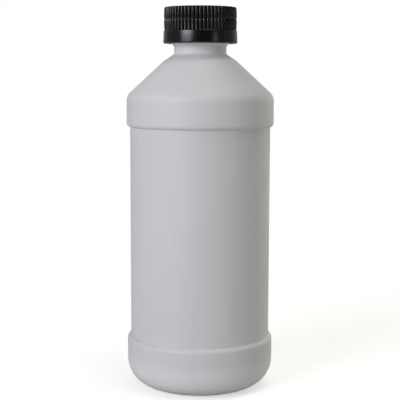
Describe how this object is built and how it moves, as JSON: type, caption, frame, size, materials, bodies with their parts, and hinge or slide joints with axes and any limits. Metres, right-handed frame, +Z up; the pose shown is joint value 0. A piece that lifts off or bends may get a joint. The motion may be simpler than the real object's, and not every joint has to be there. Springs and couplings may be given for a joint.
{
  "type": "round plastic bottle",
  "caption": "Round blow-moulded bottle with a recessed label panel, a conical shoulder and a ribbed two-piece ratchet screw cap with a liner.",
  "frame": {"origin": "middle of the foot ring, on the surface that the bottle stands on", "axes": "+Z up the bottle's axis, towards the cap; +X and +Y level"},
  "size_m": [0.0704, 0.0704, 0.182],
  "materials": {
    "bottle_wall": "satin",
    "liner_foam": "matte",
    "inner_cap_plastic": "satin",
    "outer_cap_plastic": "semi-gloss"
  },
  "bodies": {
    "bottle": {"bottle": "bottle_wall"},
    "liner": {"liner": "liner_foam"},
    "inner_cap": {"inner_cap": "inner_cap_plastic"},
    "outer_cap": {"outer_cap": "outer_cap_plastic"}
  },
  "joints": [
    {"name": "cap_rise", "type": "slide", "parent": "bottle", "child": "liner", "axis": [0, 0, 1], "range_m": [0, 0.015]},
    {"name": "cap_turn", "type": "hinge", "parent": "liner", "child": "inner_cap", "pos_m": [0, 0, 0.17], "axis": [0, 0, 1], "range_deg": [0, 1260]},
    {"name": "outer_cap_lift", "type": "slide", "parent": "inner_cap", "child": "outer_cap", "axis": [0, 0, 1], "range_m": [0, 0.0013]}
  ],
  "couplings": [
    {"joint": "cap_rise", "follows": "cap_turn", "m_per_rad": 0.00067322}
  ]
}
